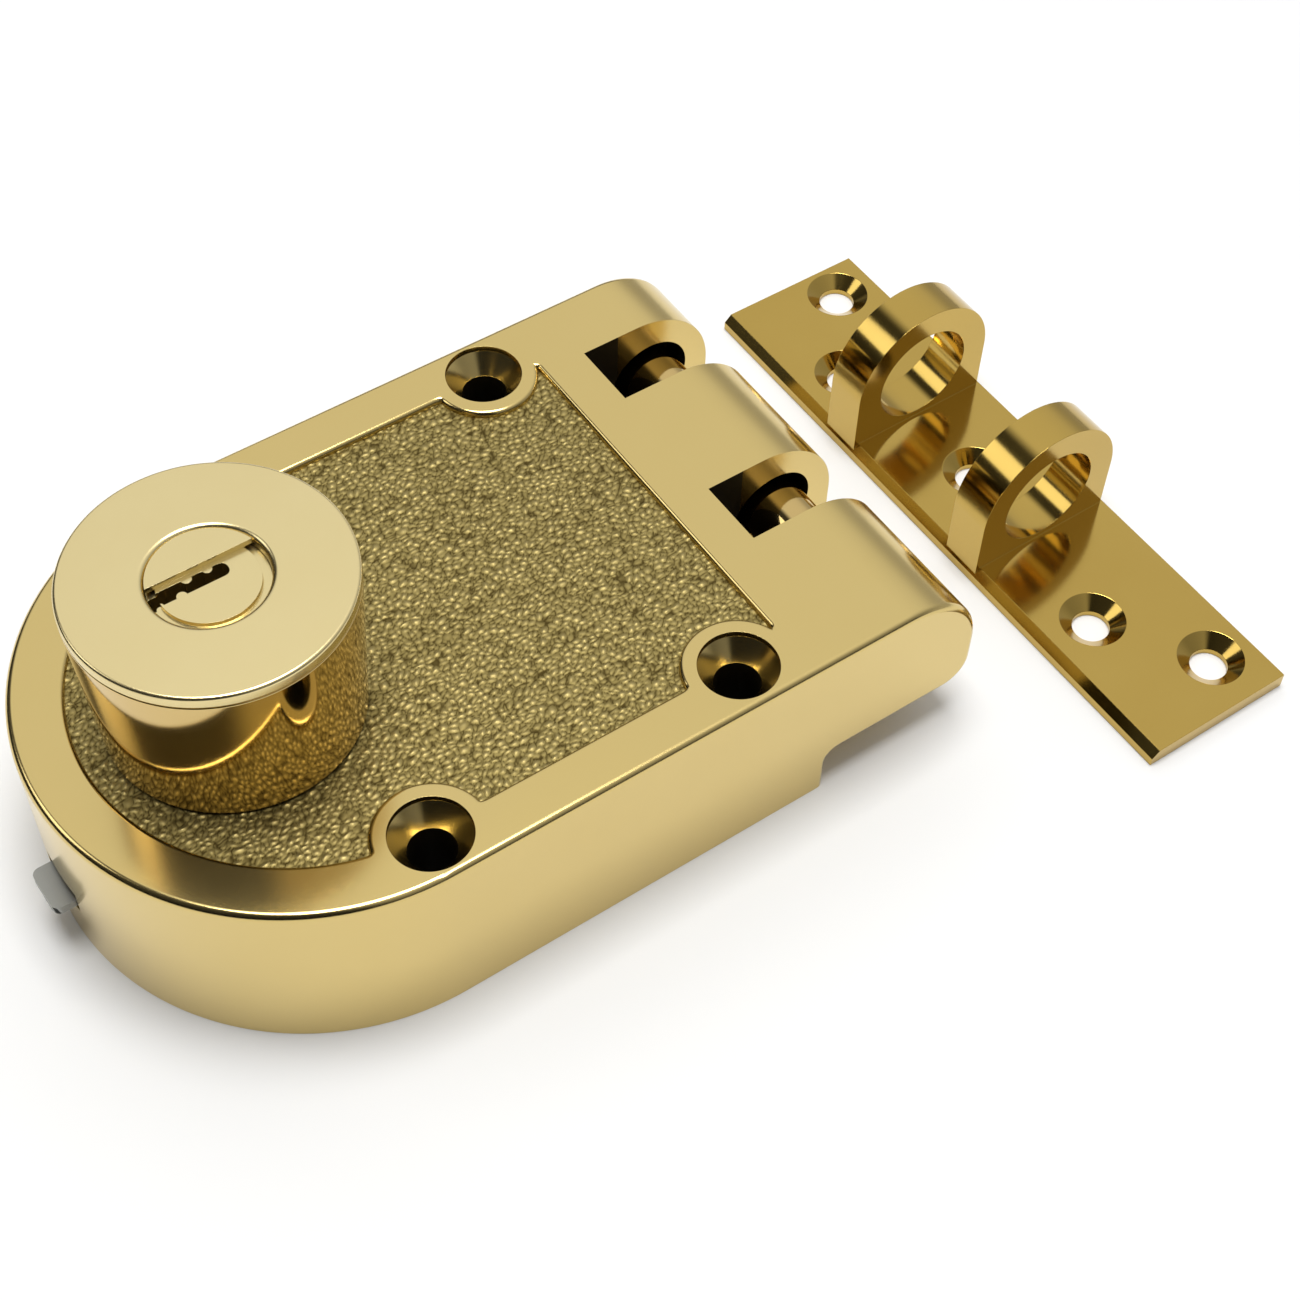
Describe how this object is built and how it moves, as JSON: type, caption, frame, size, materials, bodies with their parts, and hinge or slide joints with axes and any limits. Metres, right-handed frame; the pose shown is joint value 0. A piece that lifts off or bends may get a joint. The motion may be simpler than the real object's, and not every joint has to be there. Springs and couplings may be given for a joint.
{
  "type": "deadbolt door lock",
  "caption": "Surface-mounted interlocking deadbolt with a keyed turn knob, knuckled case and ringed strike.",
  "frame": {"origin": "on the knob's axis, on the plane of the case's back", "axes": "+X from the knob to the knuckles, +Y along the throw of the bolt pins, +Z out of the door along the knob's axis"},
  "size_m": [0.1658, 0.1043, 0.0543],
  "materials": {
    "satin_brass": "satin polished die-cast brass with a grained panel",
    "polished_brass": "mirror polished and lacquered",
    "brushed_brass": "fine brushed",
    "strike_brass": "polished forged brass",
    "bright_steel": "zinc plated sheet and ground pins",
    "screw_steel": "plated screws",
    "spring_steel": "bright drawn wire and clips",
    "dark_steel": "oiled pressed steel",
    "bearing_bronze": "turned bearing brass",
    "nylon": "natural nylon"
  },
  "bodies": {
    "case_side": {"case": "satin_brass", "mounting_plate": "bright_steel", "plate_screws": "screw_steel", "spindle_bush": "bearing_bronze", "thrust_washer": "nylon", "guide_screws": "screw_steel", "detent_ball": "bright_steel", "detent_spring": "spring_steel"},
    "knob": {"knob_shell": "polished_brass", "knob_face": "brushed_brass", "retaining_ring": "spring_steel", "cylinder_barrel": "bearing_bronze", "driver_pins": "bright_steel", "pin_springs": "spring_steel", "spindle": "dark_steel", "knob_screws": "screw_steel", "crank": "dark_steel", "crank_pin": "bright_steel", "crank_roller": "bearing_bronze", "crank_clip": "spring_steel"},
    "plug": {"plug": "brushed_brass", "key_pins": "bright_steel", "lock_cam": "dark_steel", "plug_clip": "spring_steel"},
    "bolt": {"bolt_carriage": "dark_steel", "bolt_pin_upper": "polished_brass", "bolt_pin_lower": "polished_brass"},
    "strike": {"strike": "strike_brass"}
  },
  "joints": [
    {"name": "knob_turn", "type": "hinge", "parent": "case_side", "child": "knob", "pos_m": [0, 0, 0.04], "axis": [0, 0, 1], "range_deg": [-90, 0]},
    {"name": "plug_turn", "type": "hinge", "parent": "knob", "child": "plug", "pos_m": [0, 0, 0.045], "axis": [0, 0, 1], "range_deg": [0, 90]},
    {"name": "bolt_slide", "type": "slide", "parent": "case_side", "child": "bolt", "axis": [0, 1, 0], "range_m": [-0.0128, 0]},
    {"name": "strike_slide", "type": "slide", "parent": "case_side", "child": "strike", "axis": [1, 0, 0], "range_m": [-0.01, 0.03]}
  ],
  "couplings": [
    {"joint": "bolt_slide", "follows": "knob_turn", "m_per_rad": 0.008148}
  ]
}
